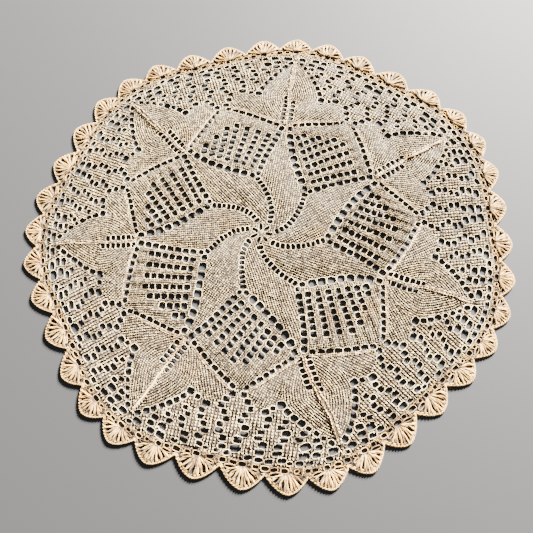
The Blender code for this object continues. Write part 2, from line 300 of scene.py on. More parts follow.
def web_plate(name, outer, holes, is_outside, material):
    """A closed sheet with holes: its loops' points joined into triangles, those in a hole or outside left
    out, then the same again on the underside and walls round every loop."""
    loops = [outer] + holes
    points = np.concatenate(loops)
    owner = np.repeat(np.arange(len(loops)), [len(loop) for loop in loops])
    first = np.cumsum([0] + [len(loop) for loop in loops])
    after = np.arange(len(points)) + 1
    after[first[1:] - 1] = first[:-1]
    walls = np.stack([np.arange(len(points)), after], axis=1)
    flat = np.stack([points.real, points.imag], axis=1) / MM
    found, _, triangles, _, _, _ = delaunay_2d_cdt(flat.tolist(), walls.tolist(), [], 0, 1e-5, False)
    if len(found) != len(points):
        raise ValueError(f"{name}: {len(found) - len(points)} loops' edges cross")
    triangles = np.array(triangles)
    of = owner[triangles]
    same = (of == of[:, :1]).all(axis=1)
    gone = same & ((of[:, 0] > 0) | is_outside(points[triangles].mean(axis=1)))
    triangles = triangles[~gone]
    a, b, c = points[triangles].T
    clockwise = ((b - a).conj() * (c - a)).imag < 0
    triangles[clockwise] = triangles[clockwise][:, ::-1]
    edges = np.concatenate([triangles[:, [0, 1]], triangles[:, [1, 2]], triangles[:, [2, 0]]])
    key = edges[:, 0] * len(points) + edges[:, 1]
    border = edges[~np.isin(key, edges[:, 1] * len(points) + edges[:, 0])]
    low = np.stack([points.real, points.imag, lie(points)], axis=1)
    top = low + (0, 0, WEB_THICKNESS)
    n = len(points)
    sides = np.concatenate([
        np.stack([border[:, 1], border[:, 0], border[:, 0] + n], axis=1),
        np.stack([border[:, 1], border[:, 0] + n, border[:, 1] + n], axis=1),
    ])
    triangles = np.concatenate([triangles, triangles[:, ::-1] + n, sides])
    return cloth_piece(name, np.concatenate([top, low]), triangles, material)


class Value:
    """An output of a material's node. Sums and products with numbers or other outputs add Math nodes."""

    def __init__(self, tree, socket):
        self.tree, self.socket = tree, socket

    def node(self, kind, settings, sockets, output=0):
        return add_node(self.tree, kind, settings, sockets, output)

    def maths(self, operation, *terms):
        return self.node("ShaderNodeMath", {"operation": operation}, dict(enumerate(terms)))

    def __add__(self, other):
        return self.maths("ADD", self, other)

    def __sub__(self, other):
        return self.maths("SUBTRACT", self, other)

    def __mul__(self, other):
        return self.maths("MULTIPLY", self, other)

    def __rsub__(self, other):
        return self.maths("SUBTRACT", other, self)

    __radd__, __rmul__ = __add__, __mul__

    def sine(self):
        return self.maths("SINE", self)

    def cosine(self):
        return self.maths("COSINE", self)

    def between(self, low, high):
        """0 up to low, 1 from high on, and smooth between them."""
        smooth = {"interpolation_type": "SMOOTHSTEP"}
        return self.node("ShaderNodeMapRange", smooth, {0: self, 1: low, 2: high})

    def mix(self, dark, light):
        """A colour from dark, where this is 0, to light, where it is 1."""
        return self.node("ShaderNodeMix", {"data_type": "RGBA"}, {0: self, 6: dark, 7: light}, 2)


def add_node(tree, kind, settings, sockets, output=0):
    """A node of a kind: its settings first, then the values or links of its sockets."""
    node = tree.nodes.new(kind)
    for name, setting in settings.items():
        setattr(node, name, setting)
    for key, value in sockets.items():
        if isinstance(value, Value):
            tree.links.new(value.socket, node.inputs[key])
        else:
            node.inputs[key].default_value = value
    return Value(tree, node.outputs[output])


def rgb(red, green, blue):
    """A colour for a shader from a screen's 0 to 255: each share to the power 2.2."""
    return (*((np.array((red, green, blue)) / 255) ** 2.2), 1.0)


def finished(colour, bump, roughness):
    """A dull cotton material with the constants of its fibre set on the shader itself."""
    tree = colour.tree
    shader = tree.nodes["Principled BSDF"]
    shader.inputs["Specular IOR Level"].default_value = 0.25
    shader.inputs["Sheen Weight"].default_value = 0.12
    shader.inputs["Sheen Roughness"].default_value = 0.6
    shader.inputs["Roughness"].default_value = roughness
    tree.links.new(colour.socket, shader.inputs["Base Color"])
    tree.links.new(bump.socket, shader.inputs["Normal"])


def new_tree(name):
    material = bpy.data.materials.new(name)
    material.use_nodes = True
    return material, material.node_tree


def web_in_painted_shade():
    """The inside of the knitting in painted shade: the cream cotton painted near-black brown for the shade
    in the pits between the stitches, its strands crossing at random, in blotches of two and eight mm.
    """
    material, tree = new_tree("web in painted shade")
    places = add_node(tree, "ShaderNodeTexCoord", {}, {}, 3)
    strands = add_node(tree, "ShaderNodeTexNoise", {}, {"Vector": places, "Scale": 900.0, "Detail": 2.0})
    blotches = add_node(tree, "ShaderNodeTexNoise", {}, {"Vector": places, "Scale": 90.0, "Detail": 1.0})
    colour = (strands * 0.7 + blotches * 0.3).between(0.30, 0.70).mix(rgb(20, 14, 8), rgb(46, 34, 21))
    bump = add_node(tree, "ShaderNodeBump", {}, {"Strength": 0.8, "Distance": 0.2 * MM, "Height": strands})
    finished(colour, bump, 0.95)
    return material


def eyelet_outline(table, shapes):
    """The outlines of a table's eyelets: rounded squares with uneven corners. A point at an angle is its
    place plus its direction times (half length, cosine; half width, sine) times (cosine to the fourth plus
    sine to the fourth) to the power minus a quarter, times its own shape."""
    angle = 2 * np.pi * (np.arange(EYELET_POINTS) + 0.5) / EYELET_POINTS
    square = (np.cos(angle) ** 4 + np.sin(angle) ** 4) ** -0.25 * shapes
    place, way, length, width = table.T[:, :, None]
    return place + way * square * (length * np.cos(angle) + 1j * width * np.sin(angle))


def uneven(table):
    """A table's eyelets, each a little out of place, turned, and larger or smaller, and their shapes."""
    shake = random.normal(0, 1, (4, len(table))).clip(-1.6, 1.6)
    place, way, length, width = table.T
    way = way * np.exp(0.08j * shake[1])
    table = np.stack([place + way * shake[0] * 0.08 * MM, way, length * (1 + 0.03 * shake[2]),
                      width * (1 + 0.05 * shake[3])], axis=1)
    return table, 1 + 0.05 * random.normal(0, 1, (len(table), EYELET_POINTS)).clip(-1.6, 1.6)


def grown(lines, margin):
    """Outlines a margin larger all round: each point moved straight out from its outline's middle."""
    out = lines - lines.mean(axis=1, keepdims=True)
    return lines + out / np.abs(out) * margin


def eased(lines, web):
    """Outlines drawn in a little at a time, wherever two of them come closer than a web's width. Six points
    on each side are compared."""
    middles = lines.mean(axis=1)
    one, other = np.nonzero(np.triu(np.abs(middles[:, None] - middles) < 10 * MM, 1))
    for _ in range(24):
        sides = np.roll(lines, 1, axis=1) - lines
        dense = np.concatenate([lines + sides * share for share in np.arange(6) / 6], axis=1)
        gap = np.abs(dense[one][:, :, None] - dense[other][:, None]).min(axis=(1, 2))
        one, other = one[gap < web], other[gap < web]
        tight = np.unique([one, other])
        centre = lines[tight].mean(axis=1, keepdims=True)
        lines[tight] = centre + (lines[tight] - centre) * 0.97
    return lines


def openings(rims, ways):
    """A table of the real openings: middle, direction, half length and half width of each outline."""
    middles = rims.mean(axis=1)
    apart = (rims - middles[:, None]) / ways[:, None]
    return middles, ways, np.abs(apart.real).max(axis=1), np.abs(apart.imag).max(axis=1)


def off_openings(places, table, margin):
    """Whether real places lie a margin or more outside every opening of a table."""
    middles, ways, length, width = table
    apart = (places[:, None] - middles) / ways
    return ((apart.real / (length + margin)) ** 4 + (apart.imag / (width + margin)) ** 4 > 1).all(axis=1)


EYELET_INSIDE = 2.8 * MM  # from the seam in to the middle of the outermost eyelets
SEAM_EYELET_INSIDE, SEAM_EYELET_ROOM = 2.5 * MM, 4.7 * MM
SEAM_EYELET = (5.6, 3.5)
GROUND_BAR = 0.26 * MM  # the narrowest web between two eyelets
rims = []
ways = []
for sector in range(LEAVES):
    table, shapes = uneven(sector_eyelets())
    fits = room_to_seam(laid(table[:, 0], sector)) > EYELET_INSIDE
    rims.append(laid(eyelet_outline(table[fits], shapes[fits]), sector))
    ways.append(turned(table[fits, 1], sector + FIRST_LEAF / SECTOR))
# One more round of eyelets just inside the seam, wherever the lace leaves room for one
bearings = shell_bearing(np.arange(SHELLS * 4) / 4 + 0.1)
places = polar(valley_reach(bearings) - EDGING_DEPTH, bearings)
places = places * (1 - SEAM_EYELET_INSIDE / np.abs(places))
near = np.abs(places[:, None] - np.concatenate(rims).mean(axis=1)).min(axis=1)
places = places[near > SEAM_EYELET_ROOM]
table, shapes = uneven(eyelet_row(places, 1j * places / np.abs(places), *SEAM_EYELET))
rims.append(eyelet_outline(table, shapes))
ways.append(table[:, 1])
rims = eased(np.concatenate(rims), GROUND_BAR)
ground_openings = openings(rims, np.concatenate(ways))
steps = np.arange(SHELLS * 12) / 12
seam_bearings = shell_bearing(steps)
ground_edge = polar(valley_reach(seam_bearings) - EDGING_DEPTH, seam_bearings)
# The web's material is painted shade: dark brown for the shade between the stitches.
web_shade_material = web_in_painted_shade()
ground_web = web_plate("ground_web", ground_edge, list(rims), lambda p: room_to_seam(p) < 0, web_shade_material)
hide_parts("knitted_ground")


# The pinwheel: seven blades of stocking stitch, from the middle out to the leaves' bases. Each V is
# one stitch of the same cream cotton. Its wales run straight out, parallel to the blade's own leaf.
WALE, ROW = 1.95 * MM, 1.65 * MM
LEG_SHARE = 0.132  # radius of a leg over the width of its wale


def yarns(paths, radius, sides=4, height=0.9, closed=False):
    """Round yarns along paths, an array of yarns by points by 3. A ring round a path point is the point
    plus radius times (cosine of a turn, sideways and level) plus radius times height times (its sine,
    upward). An open yarn's ends close on a point one radius on. Returns points, triangles, and each
    point's distance along its yarn in mm with the cosine and sine of its turn."""
    count, length = paths.shape[:2]
    if closed:
        ahead = np.roll(paths, -1, axis=1) - np.roll(paths, 1, axis=1)
    else:
        ahead = np.gradient(paths, axis=1)
    ahead = ahead / np.linalg.norm(ahead, axis=2, keepdims=True)
    sideways = np.cross(ahead, (0, 0, 1))
    sideways = sideways / np.linalg.norm(sideways, axis=2, keepdims=True)
    upward = np.cross(sideways, ahead)
    radius = np.broadcast_to(radius, (count, length))[..., None, None]
    turn = np.arange(sides) * 2 * np.pi / sides
    cosine, sine = np.cos(turn)[:, None], np.sin(turn)[:, None]
    around = cosine * sideways[:, :, None] + height * sine * upward[:, :, None]
    rings = paths[:, :, None] + radius * around
    steps = np.linalg.norm(np.diff(paths, axis=1, prepend=paths[:, :1]), axis=2)
    travelled = np.cumsum(steps, axis=1) / MM
    lay = np.stack(np.broadcast_arrays(travelled[:, :, None], cosine[:, 0], sine[:, 0]), axis=3)
    here = np.arange(length if closed else length - 1)[:, None] * sides + np.arange(sides)
    right = here - np.arange(sides) + (np.arange(sides) + 1) % sides
    ring = length * sides
    on, on_right = (here + sides) % ring, (right + sides) % ring
    faces = [np.stack([here, on, on_right], axis=2), np.stack([here, on_right, right], axis=2)]
    faces = [f.reshape(-1, 3) for f in faces]
    points, lay = rings.reshape(count, ring, 3), lay.reshape(count, ring, 3)
    if not closed:
        start = paths[:, 0] - ahead[:, 0] * radius[:, 0, 0]
        end = paths[:, -1] + ahead[:, -1] * radius[:, -1, 0]
        points = np.concatenate([points, np.stack([start, end], axis=1)], axis=1)
        lay = np.concatenate([lay, lay[:, [0, -1]] * (1, 0, 0)], axis=1)
        side = np.arange(sides)
        after = (side + 1) % sides
        last = ring - sides
        faces.append(np.stack([np.full(sides, ring), side, after], axis=1))
        faces.append(np.stack([np.full(sides, ring + 1), last + after, last + side], axis=1))
    faces = np.concatenate(faces)
    triangles = faces[None] + (np.arange(count) * points.shape[1])[:, None, None]
    return points.reshape(-1, 3), triangles.reshape(-1, 3), lay.reshape(-1, 3)


def joined(parts):
    """Several results of yarns() as one, with a random tone for each yarn of each part."""
    points, triangles, lays, tones = [], [], [], []
    start = 0
    for (p, t, lay), count in parts:
        points.append(p)
        triangles.append(t + start)
        lays.append(lay)
        tones.append(np.repeat(random.random(count), len(p) // count))
        start += len(p)
    return np.concatenate(points), np.concatenate(triangles), np.concatenate(lays), np.concatenate(tones)


def raised(places, height):
    """Points over complex places: the cloth's own lie plus a height."""
    return np.stack([places.real, places.imag, lie(places) + height], axis=-1)


def stitch_legs(sector, places, ways, wale, row, height):
    """The two legs of each V: each rises from low at its foot, at a share of the wale's width from the
    middle, to high at its head, farther out, and is then laid out in a sector. The yarn's twist lays one
    leg steeper than the other. Each stitch is a little out of place, turned and lifted."""
    shake = random.normal(0, 1, (4, len(places)))
    places = places + ways * (shake[0] + 1j * shake[1]) * 0.11 * MM
    ways = ways * np.exp(0.06j * shake[2])
    legs = []
    for side, low, high in ((1, 0.24, 0.46), (-1, 0.31, 0.42)):
        foot = places + ways * (-0.38 * row + 1j * side * low * wale)
        head = places + ways * (0.36 * row + 1j * side * high * wale)
        ends = laid(np.stack([foot, head], axis=1), sector)
        rise = (height + 0.10 * MM * shake[3])[:, None] + np.array((-0.28, 0.20)) * MM
        legs.append(raised(ends, rise))
    return np.concatenate(legs)


def inside(places, polygon):
    """Whether places lie in a polygon: a ray from each crosses its sides an odd number of times."""
    a, b = polygon, np.roll(polygon, -1)
    y = places.imag[..., None]
    with np.errstate(divide="ignore", invalid="ignore"):
        x = a.real + (b.real - a.real) * (y - a.imag) / (b.imag - a.imag)
    crossed = ((a.imag > y) != (b.imag > y)) & (places.real[..., None] < x)
    return crossed.sum(axis=-1) % 2 == 1


def knitted(name, fields, height, material):
    """A piece of V stitches in all seven sectors, off the eyelets. fields lists (places, ways, wale, row)
    of one even sector."""
    parts = []
    for places, ways, wale, row in fields:
        for sector in range(LEAVES):
            real = laid(places, sector)
            fits = (room_to_seam(real) > 0.6 * MM) & off_openings(real, ground_openings, 0.25 * MM)
            lift = np.broadcast_to(height, places.shape)[fits]
            way = np.broadcast_to(ways, places.shape)[fits]
            legs = stitch_legs(sector, places[fits], way, wale, row, lift)
            parts.append((yarns(legs, LEG_SHARE * wale), len(legs)))
    points, triangles, lay, tone = joined(parts)
    piece = cloth_piece(name, points, triangles, material, lay=lay, tone=tone)
    return piece


# The second colour is the painted highlight on the yarn's top, the third the painted shade at its sides.
def cotton_yarn(name, light, painted_shade, tan, shine):
    """Plied cotton with painted light and shade: a painted highlight on top of the yarn, painted shade at
    its sides, in the plies' slanting grooves from the distance along the yarn and the turn round it, and
    where it comes out from under the stitch below; tones from yarn to yarn, tan blotches 30 mm across, and
    a golden brown tint at the pucker."""
    material, tree = new_tree(name)
    places = add_node(tree, "ShaderNodeTexCoord", {}, {}, 3)
    lay = add_node(tree, "ShaderNodeAttribute", {"attribute_name": "lay"}, {}, 1)
    tone = add_node(tree, "ShaderNodeAttribute", {"attribute_name": "tone"}, {}, 2)
    travelled, cosine, sine = (add_node(tree, "ShaderNodeSeparateXYZ", {}, {0: lay}, i) for i in range(3))
    slant = travelled * 7.0
    grooves = slant.sine() * cosine + slant.cosine() * sine
    fibres = add_node(tree, "ShaderNodeTexNoise", {}, {"Vector": places, "Scale": 2500.0, "Detail": 2.0})
    blotches = add_node(tree, "ShaderNodeTexNoise", {}, {"Vector": places, "Scale": 34.0, "Detail": 2.0})
    clear_of_painted_shade = travelled.between(0.0, 1.3)
    tension = add_node(tree, "ShaderNodeTexNoise", {}, {"Vector": places, "Scale": 420.0, "Detail": 2.0})
    # height and top make the painted light: the yarn's top takes the painted highlight, while its sides,
    # the plies' grooves and its first 1.3 mm out from under the stitch below take painted shade; tones and
    # tension noise shift this at random.
    height = sine + clear_of_painted_shade * 1.1 + grooves * 0.2 + fibres * 0.8
    top = (height + tone * 1.5 + tension * 2.8).between(3.2, 5.1)
    middle = PUCKER - box_middle
    apart = add_node(tree, "ShaderNodeVectorMath", {"operation": "DISTANCE"},
                     {0: places, 1: (middle.real, middle.imag, 2 * MM)}, 1)
    aged_and_painted_light = blotches.between(0.48, 0.80).mix(top.mix(painted_shade, light), top.mix(painted_shade, tan))
    # Near the pucker: a golden brown tint, with painted shade at the yarn's sides.
    colour = apart.between(2.2 * MM, 5.5 * MM).mix(top.mix(rgb(40, 26, 8), rgb(196, 148, 66)), aged_and_painted_light)
    bump = add_node(tree, "ShaderNodeBump", {},
                    {"Strength": 0.6, "Distance": 0.12 * MM, "Height": grooves * 0.5 + fibres * 0.6})
    finished(colour, bump, shine)
    return material


def grid(low, high, turn, wale, row):
    """Places of stitches in wales and rows over a box round two corners, the wales along turn degrees."""
    way = np.exp(1j * np.radians(turn))
    corners = np.array((low, high, low.real + 1j * high.imag, high.real + 1j * low.imag)) / way
    rows = np.arange(corners.real.min(), corners.real.max(), row)
    wales = np.arange(corners.imag.min(), corners.imag.max(), wale)
    return ((rows + 1j * wales[:, None]) * way).ravel(), way


# Each yarn's colours: a painted highlight for its lit top, painted shade for its sides, and the tan of its
# blotches.
cream = cotton_yarn("cream cotton yarn", rgb(255, 229, 170), rgb(58, 40, 20), rgb(240, 196, 130), 0.85)
blade_outline = np.concatenate([
    [0], rounded(SPIRAL_INNER), rounded(SPIRAL_OUTER), rounded(PANEL_SIDE)[::-1],
    turned(rounded(SPIRAL_INNER), 1)[::-1],
])
places, way = grid((-0.05 - 0.25j) * REACH, (0.55 + 0.25j) * REACH, 0, WALE, ROW)
places = places[inside(places, blade_outline)]
knitted("pinwheel_stitches", [(places, way, WALE, ROW)], WEB_THICKNESS + 0.2 * MM, cream)


# The net panels: rows of eyelets between raised ridges two wales wide, worked outward from the panel's
# inner corner, and past the eyelets a wedge of stocking stitch up to the leaves' side lobes.
WALES_PER_ROW = 4
RIDGE_LIFT = 0.85 * MM
panel_outline = np.concatenate([
    rounded(PANEL_SIDE), rounded(LOBE_LEFT), rounded(LOBE_RIGHT)[::-1],
    turned(rounded(SPIRAL_OUTER), 1)[::-1],
])
wales = (np.arange(-WALES_PER_ROW, 13 * WALES_PER_ROW) + 0.5) / WALES_PER_ROW
distances = np.arange(-20 * MM, 80 * MM, ROW)
rows_of, far = (a.ravel() for a in np.meshgrid(wales, distances, indexing="ij"))
places = net_place(rows_of, far)
fits = inside(places, panel_outline)
places, rows_of = places[fits], rows_of[fits]
on_ridge = np.abs(rows_of % 1 - 0.5) < 0.3
knitted("panel_stitches", [(places, net_way(rows_of), NET_ROW_PITCH / WALES_PER_ROW, ROW)],
        WEB_THICKNESS + 0.2 * MM + RIDGE_LIFT * on_ridge, cream)


# The leaves: stocking stitch whose wales follow the leaf's outline and meet at the rib in chevrons, and
# on each side a lobe of slanting wales that reaches to the next leaf's lobe over the net panel.
# Outline of half a leaf. Columns: share of REACH along the leaf, half width.
LEAF_HALF = ((0.520, 0.030), (0.560, 0.072), (0.600, 0.102), (0.645, 0.124), (0.690, 0.132), (0.750, 0.114),
             (0.813, 0.084), (0.860, 0.044), (0.890, 0.004))
LEAF_WALES = 26  # enough wales to fill half a leaf from its edge to the rib
LOBE_TURN = 46  # degrees from the leaf to its lobes' wales
LOBE_OUTSIDE = ((0.645, 25.5), (0.690, 20.5), (0.712, 16.0), (0.706, 13.5), (0.695, 11.3))
leaf_x, leaf_y = np.array(LEAF_HALF).T * REACH
leaf_steps = np.hypot(np.diff(leaf_x), np.diff(leaf_y))
leaf_slope = np.gradient(leaf_y, leaf_x)
leaf_fields = []
lobe_fields = []
for side in (1, -1):
    travelled = np.append(0, np.cumsum(leaf_steps))
    far = np.arange(0, travelled[-1], ROW)
    x = np.interp(far, travelled, leaf_x)
    slope = np.interp(x, leaf_x, leaf_slope)
    in_from_edge = (np.arange(LEAF_WALES)[:, None] + 0.3) * WALE * np.hypot(1, slope)
    y = np.interp(x, leaf_x, leaf_y) - in_from_edge
    places = (x + 1j * side * y).ravel()
    ways = np.broadcast_to((1 + 1j * side * slope) / np.hypot(1, slope), y.shape).ravel()
    fits = y.ravel() > 0.55 * WALE
    leaf_fields.append((places[fits], ways[fits], WALE, ROW))
lobe_edge = rounded(LOBE_OUTSIDE)
leaf_right = [rounded(LOBE_LEFT), lobe_edge]
leaf_left = [turned(rounded(LOBE_RIGHT), -1), rounded(LOBE_OUTSIDE).conj()]
for side, (line, top) in ((1, leaf_right), (-1, leaf_left)):
    outline_of_lobe = np.concatenate([[0.52 * REACH], line, top, [0.60 * REACH]])
    places, way = grid((0.45 - 0.35j) * REACH, (0.75 + 0.35j) * REACH, side * LOBE_TURN, WALE, ROW)
    half = np.interp(places.real, leaf_x, leaf_y)
    fits = inside(places, outline_of_lobe) & (side * places.imag > half + 0.1 * WALE)
    lobe_fields.append((places[fits], way, WALE, ROW))
knitted("leaf_stitches", leaf_fields, WEB_THICKNESS + 0.25 * MM, cream)
knitted("lobe_stitches", lobe_fields, WEB_THICKNESS + 0.2 * MM, cream)


# The outer lace: small diamonds and zigzag trunks of stocking stitch between the eyelets, from the
# leaves out to the last round. Its wales run out along the line through the apex of the panel below.
leaf_edge_right = polar(*np.array(LEAF_EDGE[::-1]).T)
lace_side = np.concatenate([rounded(LOBE_OUTSIDE), leaf_edge_right, [0.892 * REACH], [0.98 * REACH]])
lace_rim = polar(0.98, np.linspace(1, SECTOR - 1, 12))
lace_outline = np.concatenate([lace_side, lace_rim, turned(lace_side.conj(), 1)[::-1]])
LACE_WALE, LACE_ROW = 2.55 * MM, 2.2 * MM
places, way = grid((0.55 - 0.1j) * REACH, (1.0 + 0.9j) * REACH, APEX[1], LACE_WALE, LACE_ROW)
fits = inside(places, lace_outline)
knitted("lace_stitches", [(places[fits], way, LACE_WALE, LACE_ROW)], WEB_THICKNESS + 0.25 * MM, cream)


# The loops round the eyelets: where yarn is passed over the needle, one strand goes round each opening
# and stands a little above the stitches. Between two eyelets their strands lie side by side as a bar.
LOOP_RADIUS = 0.29 * MM
# The loops' colours: a painted highlight on top, painted shade at the sides, and tan.
bright = cotton_yarn("eyelet loop yarn", rgb(255, 230, 174), rgb(66, 46, 24), rgb(244, 202, 138), 0.8)
loop_lines = grown(rims, 1.1 * LOOP_RADIUS)
lift = WEB_THICKNESS + 0.18 * MM + 0.08 * MM * random.normal(0, 1, len(loop_lines))[:, None]
inner = np.abs(loop_lines.mean(axis=1)) < 0.62 * REACH
for name, chosen in (("inner_eyelet_loops", inner), ("outer_eyelet_loops", ~inner)):
    loops = raised(loop_lines[chosen], lift[chosen])
    points, triangles, lay, tone = joined([(yarns(loops, LOOP_RADIUS, closed=True), len(loops))])
    piece = cloth_piece(name, points, triangles, bright, lay=lay, tone=tone)


# The ribs and cords: a raised column of double decreases runs up the middle of each leaf to its tip, and
# a thinner one along both top sides of each net panel, beside the lobes' eyelets.
RIB_LINE = ((0.535, -0.5), (0.650, -0.4), (0.690, 0.2), (0.760, 0.3), (0.880, 0.3))
RIB_RISE = (0.35, 0.55)  # shares of the line over which the rib rises from the stitches round it
CORD_SIDE = 2.6 * MM  # from a lobe's eyelets in to the cord
RIB_STRENGTHS = (0.9, 0.85, 0.95, 0.7, 1.0, 1.0, 0.75)  # how much each leaf's rib stands out
RIB_SIZES = (4.0 * MM, 2.2 * MM, 0.60 * MM, 0.95 * MM)  # wale, row, radius of a leg, lift
CORD_SIZES = (2.0 * MM, 1.65 * MM, 0.36 * MM, 0.15 * MM)


def ridge_column(sector, line, sizes, wander, rise):
    """A raised column of V stitches along a line, on a thick yarn that carries them, wandering sideways. It
    rises smoothly between two shares of its length and sinks again at its end."""
    wale, row, radius, lift = sizes
    length = np.abs(np.diff(line)).sum()
    places, ways = along(line, np.linspace(0.01, 0.99, int(length / row)))
    step = np.arange(len(places))
    sway = wander * np.sin(step * 0.9 + sector) * np.sin(step * 0.37 + 2 * sector)
    places = places + 1j * ways * sway
    share = np.linspace(0, 1, len(places))
    swell = np.interp(share, (rise[0], rise[1], 0.9, 1), (0.25, 1, 1, 0.2))
    wale = wale * (0.4 + 0.6 * swell)
    legs = stitch_legs(sector, places, ways, wale, row, WEB_THICKNESS + lift * swell + 0.15 * MM)
    core = raised(laid(places, sector), WEB_THICKNESS * 0.5 + lift * swell * 0.4)[None]
    return [(yarns(legs, radius), len(legs)), (yarns(core, 0.28 * wale, sides=6, height=0.8), 1)]


# The ribs' yarn: a little tanner than the cream, with the same painted highlight on top and painted shade
# at the sides.
tanner_rib_yarn = cotton_yarn("rib yarn", rgb(255, 224, 166), rgb(74, 48, 26), rgb(240, 186, 124), 0.85)
parts = []
for sector, strength in enumerate(RIB_STRENGTHS):
    wale, row, radius, lift = RIB_SIZES
    sizes = (wale * strength, row, radius * strength, lift * strength)
    parts += ridge_column(sector, rounded(RIB_LINE), sizes, 0.5 * MM, RIB_RISE)
    for line, side in ((rounded(LOBE_LEFT), -1), (rounded(LOBE_RIGHT), 1)):
        ways = np.gradient(line)
        cord = line + side * 1j * ways / np.abs(ways) * CORD_SIDE
        parts += ridge_column(sector, cord, CORD_SIZES, 0.1 * MM, (0, 0.1))
points, triangles, lay, tone = joined(parts)
ribs = cloth_piece("ribs_and_cords", points, triangles, tanner_rib_yarn, lay=lay, tone=tone)


# The crocheted edging's web: the inner layer of the 38 shells and of the round that joins them to the
# ground, with slits between the posts and a longer gap at each end of a shell.
HUB_DEPTH = 0.014  # from a valley in to the stitch that a shell's posts spring from
RIM_WIDTH = 0.011
SEAM_GAP = 0.35 * MM
HUB_WIDTH = 5 * MM
POSTS = 9


def fan(number, across, outward):
    """A place in a shell: at its hub where outward is 0, and inside its rim, at across, where it is 1."""
    bearing = shell_bearing(number + across)
    middle = shell_bearing(number + 0.5)
    hub = polar(valley_reach(middle) - HUB_DEPTH, middle)
    hub = hub * (1 + 1j * (across - 0.5) * HUB_WIDTH / REACH)
    rim = polar(edge_reach(bearing, across) - RIM_WIDTH, bearing)
    return hub + (rim - hub) * outward


# How open each shell's slits are, from 0 to 1: widest at the near right
openness = 0.5 + 0.5 * np.sin(np.radians(shell_bearing(np.arange(SHELLS)) + 145))
first_post = (0.09 + 0.07 * openness)[:, None]
post_across = first_post + (1 - 2 * first_post) * np.arange(POSTS) / (POSTS - 1)
slit_outward = np.array((0.58, 0.66, 0.80, 0.90, 0.90, 0.80, 0.66))
slit_side = np.array((0.0, 0.6, 1.0, 0.7, -0.7, -1.0, -0.6)) * 0.4 / POSTS
slits = []
end_gaps = []
for number in range(SHELLS):
    open_by = openness[number]
    for across in (post_across[number, 1:] + post_across[number, :-1]) / 2:
        outward = 0.90 - (0.90 - slit_outward) * random.uniform(0.5, 1.1)
        width = (0.15 + 0.5 * open_by) * random.uniform(0.4, 1.3)
        slits.append(fan(number, across + slit_side * width, outward))
    for end, length, width in ((0, 8.5, 2.6), (1, 6.5, 1.9)):
        across = np.array(abs(end - 0.02 - 0.03 * open_by))
        middle = fan(number, across, np.array(0.52))
        way = fan(number, across, np.array(0.9)) - middle
        size = random.uniform(0.8, 1.15)
        width = width * size * (0.4 + 0.6 * open_by)
        end_gaps.append(eyelet_row(middle, way / np.abs(way), length * size, width))
numbers = np.arange(SHELLS)[:, None] + (0.01, 0.25, 0.50, 0.75)
bearings = shell_bearing(numbers.ravel()) + random.normal(0, 0.25, SHELLS * 4)
places = polar(valley_reach(bearings) - 0.0228, bearings)
band_table = eyelet_row(places, 1j * places / np.abs(places), random.uniform(3.6, 6.0, len(places)),
                        random.uniform(2.8, 3.3, len(places)))
band_table, band_shapes = uneven(np.concatenate([band_table] + end_gaps))
band_rims = eased(eyelet_outline(band_table, band_shapes), 0.6 * MM)
slits += list(band_rims)
numbers = np.arange(SHELLS * 24) / 24
bearings = shell_bearing(numbers)
fine_outline = polar(edge_reach(bearings, numbers % 1) - 0.5 * RIM_WIDTH, bearings)
seam_line = ground_edge * (1 + SEAM_GAP / np.abs(ground_edge))
edge_angles = np.unwrap(np.angle(fine_outline))


def outside_edging(places):
    """Whether places lie outside the shells' edge or inside the seam."""
    angle = (np.angle(places) - edge_angles[0]) % (2 * np.pi) + edge_angles[0]
    return np.abs(places) > np.interp(angle, edge_angles, np.abs(fine_outline), period=2 * np.pi)


# The edging's web takes the same painted shade: dark brown for the shade between its stitches.
edging_web = web_plate("edging_web", fine_outline, [seam_line] + slits, outside_edging, web_shade_material)
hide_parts("crochet_edging")


# The shells: nine double-crochet posts spring from one stitch and fan out to a corded rim, golden
# where the cotton has aged. Each post is two strands wound half round each other.
# The shells' golden cotton: a painted highlight on top, painted shade at the sides, and a deeper gold.
golden = cotton_yarn("golden cotton yarn", rgb(234, 188, 108), rgb(52, 32, 12), rgb(198, 142, 70), 0.85)
numbers = np.repeat(np.arange(SHELLS), POSTS)
across = post_across.ravel() + random.normal(0, 0.007, SHELLS * POSTS)
outward = np.linspace(0.02, 1.0, 6)
bend = (random.normal(0, 0.016, len(across)) + 0.05 * (across - 0.5))[:, None] * np.sin(np.pi * outward)
spine = fan(numbers[:, None], across[:, None] + bend, outward)
ahead = np.gradient(spine, axis=1)
ahead = ahead / np.abs(ahead)
strands = []
start = random.uniform(0, np.pi, len(spine))[:, None]
for half in (0, np.pi):
    twist = half + start + np.pi * outward * 1.4
    spread = (0.22 + 0.42 * outward) * MM
    rise = WEB_THICKNESS + 0.30 * MM + 0.35 * MM * np.sin(np.pi * outward) + 0.30 * MM * np.sin(twist)
    strands.append(raised(spine + 1j * ahead * spread * np.cos(twist), rise))
strands = np.concatenate(strands)
points, triangles, lay, tone = joined([(yarns(strands, (0.46 + 0.24 * outward) * MM), len(strands))])
posts = cloth_piece("shell_posts", points, triangles, golden, lay=lay, tone=tone)


# The rims: a cord of two strands twisted together round every shell's edge, a chain of V stitches inside
# it, and rounds of openwork where the edging is worked into the ground.
RIM_STITCHES = 14
ROPE_TURNS = 9  # turns of the outer cord's two strands in each shell
BAND_ROUNDS = (0.0335, 0.0260, 0.0185, 0.0120)  # depths inside the valleys


